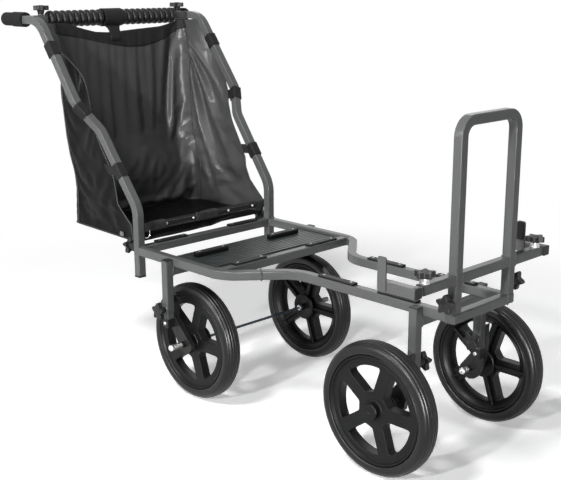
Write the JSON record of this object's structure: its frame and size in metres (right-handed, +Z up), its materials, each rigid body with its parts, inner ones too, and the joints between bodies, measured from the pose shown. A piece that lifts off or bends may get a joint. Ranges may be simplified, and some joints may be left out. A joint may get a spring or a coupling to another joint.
{
  "type": "fishing trolley",
  "caption": "Fishing trolley: square-tube deck frame on wheels with sliding legs, front hoop with retainer arms, push handle and open-fronted bag.",
  "frame": {"origin": "on the ground under the middle of the whole trolley", "axes": "+X towards the hoop at the nose, +Y towards the far side of the picture, +Z up"},
  "size_m": [1.6436, 0.67, 1.094],
  "materials": {
    "frame": "satin grey powder coat on square steel tube",
    "panel": "dark grey coated ribbed plank",
    "plastic": "black moulded nylon, fine grain",
    "rubber": "black rubber strip",
    "tyre": "semi-gloss black tyre rubber with ridged tread",
    "rim": "black moulded wheel, satin",
    "casting": "black coated leg and axle",
    "chrome": "bright plated steel",
    "foam": "black foam sleeve",
    "fabric": "coated black fabric with a sheen and folds"
  },
  "bodies": {
    "deck": {"rail_near": "frame", "rail_far": "frame", "nose_bar": "frame", "crossbar_rear": "frame", "crossbar_front": "frame", "deck_panel": "panel", "axle_frame_rear": "frame", "axle_frame_front": "frame", "pad_rear_near": "rubber", "pad_panel_near": "rubber", "pad_front_near": "rubber", "pad_rail_near_1": "rubber", "pad_rail_near_2": "rubber", "pad_rear_far": "rubber", "pad_panel_far": "rubber", "pad_front_far": "rubber", "pad_rail_far_1": "rubber", "pad_rail_far_2": "rubber"},
    "leg_rear_near": {"leg_rear_near": "casting", "tie_rod": "chrome"},
    "wheel_rear_near": {"rim_rear_near": "rim", "tyre_rear_near": "tyre"},
    "plunger_rear_near": {"plunger_rear_near": "chrome"},
    "knob_post_rear_near": {"knob_post_rear_near": "plastic"},
    "leg_rear_far": {"leg_rear_far": "casting"},
    "wheel_rear_far": {"rim_rear_far": "rim", "tyre_rear_far": "tyre"},
    "plunger_rear_far": {"plunger_rear_far": "chrome"},
    "knob_post_rear_far": {"knob_post_rear_far": "plastic"},
    "leg_front_near": {"leg_front_near": "casting"},
    "wheel_front_near": {"rim_front_near": "rim", "tyre_front_near": "tyre"},
    "plunger_front_near": {"plunger_front_near": "chrome"},
    "knob_post_front_near": {"knob_post_front_near": "plastic"},
    "leg_front_far": {"leg_front_far": "casting"},
    "wheel_front_far": {"rim_front_far": "rim", "tyre_front_far": "tyre"},
    "plunger_front_far": {"plunger_front_far": "chrome"},
    "knob_post_front_far": {"knob_post_front_far": "plastic"},
    "hoop": {"hoop": "frame"},
    "arm_near": {"arm_near": "frame", "arm_pad_near": "foam"},
    "arm_far": {"arm_far": "frame", "arm_pad_far": "foam"},
    "handle": {"handle_near": "frame", "handle_far": "frame", "push_bar": "frame", "push_grip": "plastic", "hand_grip_near": "foam", "hand_grip_far": "foam", "bag": "fabric"},
    "knob_base_near": {"knob_base_near": "plastic"},
    "knob_hoop_near": {"knob_hoop_near": "plastic"},
    "knob_arm_near": {"knob_arm_near": "plastic"},
    "knob_bar_near": {"knob_bar_near": "plastic"},
    "knob_base_far": {"knob_base_far": "plastic"},
    "knob_hoop_far": {"knob_hoop_far": "plastic"},
    "knob_arm_far": {"knob_arm_far": "plastic"},
    "knob_bar_far": {"knob_bar_far": "plastic"}
  },
  "joints": [
    {"name": "leg_rear_near_drop", "type": "slide", "parent": "deck", "child": "leg_rear_near", "axis": [0, 0, -1], "range_m": [0, 0.06]},
    {"name": "wheel_rear_near_spin", "type": "hinge", "parent": "leg_rear_near", "child": "wheel_rear_near", "pos_m": [-0.02205, -0.229, 0.1685], "axis": [0, 1, 0], "continuous": true},
    {"name": "plunger_rear_near_pull", "type": "slide", "parent": "leg_rear_near", "child": "plunger_rear_near", "axis": [0, -1, 0], "range_m": [0, 0.008], "stiffness_N_per_m": 500, "springref_m": -0.003},
    {"name": "knob_post_rear_near_turn", "type": "hinge", "parent": "deck", "child": "knob_post_rear_near", "pos_m": [-0.07325, -0.3, 0.265], "axis": [0, -1, 0], "range_deg": [0, 540]},
    {"name": "leg_rear_far_drop", "type": "slide", "parent": "deck", "child": "leg_rear_far", "axis": [0, 0, -1], "range_m": [0, 0.06]},
    {"name": "wheel_rear_far_spin", "type": "hinge", "parent": "leg_rear_far", "child": "wheel_rear_far", "pos_m": [-0.02205, 0.229, 0.1685], "axis": [0, 1, 0], "continuous": true},
    {"name": "plunger_rear_far_pull", "type": "slide", "parent": "leg_rear_far", "child": "plunger_rear_far", "axis": [0, 1, 0], "range_m": [0, 0.008], "stiffness_N_per_m": 500, "springref_m": -0.003},
    {"name": "knob_post_rear_far_turn", "type": "hinge", "parent": "deck", "child": "knob_post_rear_far", "pos_m": [-0.07325, 0.3, 0.265], "axis": [0, 1, 0], "range_deg": [0, 540]},
    {"name": "leg_front_near_drop", "type": "slide", "parent": "deck", "child": "leg_front_near", "axis": [0, 0, -1], "range_m": [0, 0.06]},
    {"name": "wheel_front_near_spin", "type": "hinge", "parent": "leg_front_near", "child": "wheel_front_near", "pos_m": [0.65325, -0.2237, 0.1685], "axis": [0, 1, 0], "continuous": true},
    {"name": "plunger_front_near_pull", "type": "slide", "parent": "leg_front_near", "child": "plunger_front_near", "axis": [0, 1, 0], "range_m": [0, 0.008], "stiffness_N_per_m": 500, "springref_m": -0.003},
    {"name": "knob_post_front_near_turn", "type": "hinge", "parent": "deck", "child": "knob_post_front_near", "pos_m": [0.68675, -0.1219, 0.265], "axis": [0, 1, 0], "range_deg": [0, 540]},
    {"name": "leg_front_far_drop", "type": "slide", "parent": "deck", "child": "leg_front_far", "axis": [0, 0, -1], "range_m": [0, 0.06]},
    {"name": "wheel_front_far_spin", "type": "hinge", "parent": "leg_front_far", "child": "wheel_front_far", "pos_m": [0.65325, 0.2237, 0.1685], "axis": [0, 1, 0], "continuous": true},
    {"name": "plunger_front_far_pull", "type": "slide", "parent": "leg_front_far", "child": "plunger_front_far", "axis": [0, -1, 0], "range_m": [0, 0.008], "stiffness_N_per_m": 500, "springref_m": -0.003},
    {"name": "knob_post_front_far_turn", "type": "hinge", "parent": "deck", "child": "knob_post_front_far", "pos_m": [0.68675, 0.1219, 0.265], "axis": [0, -1, 0], "range_deg": [0, 540]},
    {"name": "hoop_lift", "type": "slide", "parent": "deck", "child": "hoop", "axis": [0, 0, 1], "range_m": [0, 0.055]},
    {"name": "arm_near_slide", "type": "slide", "parent": "hoop", "child": "arm_near", "axis": [0, -1, 0], "range_m": [-0.012, 0.07]},
    {"name": "arm_far_slide", "type": "slide", "parent": "hoop", "child": "arm_far", "axis": [0, 1, 0], "range_m": [-0.003, 0.07]},
    {"name": "handle_lift", "type": "slide", "parent": "deck", "child": "handle", "axis": [0, 0, 1], "range_m": [0, 0.08]},
    {"name": "knob_base_near_turn", "type": "hinge", "parent": "deck", "child": "knob_base_near", "pos_m": [-0.24775, -0.2622, 0.408], "axis": [-1, 0, 0], "range_deg": [0, 540]},
    {"name": "knob_hoop_near_turn", "type": "hinge", "parent": "hoop", "child": "knob_hoop_near", "pos_m": [0.77975, -0.1216, 0.44], "axis": [0, -1, 0], "range_deg": [0, 540]},
    {"name": "knob_arm_near_turn", "type": "hinge", "parent": "hoop", "child": "knob_arm_near", "pos_m": [0.77975, -0.225, 0.509], "axis": [0, 0, 1], "range_deg": [0, 540]},
    {"name": "knob_bar_near_turn", "type": "hinge", "parent": "handle", "child": "knob_bar_near", "pos_m": [-0.69175, -0.2668, 1.065], "axis": [0, 0, 1], "range_deg": [0, 540]},
    {"name": "knob_base_far_turn", "type": "hinge", "parent": "deck", "child": "knob_base_far", "pos_m": [-0.24775, 0.2622, 0.408], "axis": [-1, 0, 0], "range_deg": [0, 540]},
    {"name": "knob_hoop_far_turn", "type": "hinge", "parent": "hoop", "child": "knob_hoop_far", "pos_m": [0.77975, 0.1216, 0.44], "axis": [0, 1, 0], "range_deg": [0, 540]},
    {"name": "knob_arm_far_turn", "type": "hinge", "parent": "hoop", "child": "knob_arm_far", "pos_m": [0.77975, 0.225, 0.509], "axis": [0, 0, 1], "range_deg": [0, 540]},
    {"name": "knob_bar_far_turn", "type": "hinge", "parent": "handle", "child": "knob_bar_far", "pos_m": [-0.69175, 0.2668, 1.065], "axis": [0, 0, 1], "range_deg": [0, 540]}
  ],
  "couplings": [
    {"joint": "leg_rear_far_drop", "follows": "leg_rear_near_drop", "ratio": 1}
  ]
}
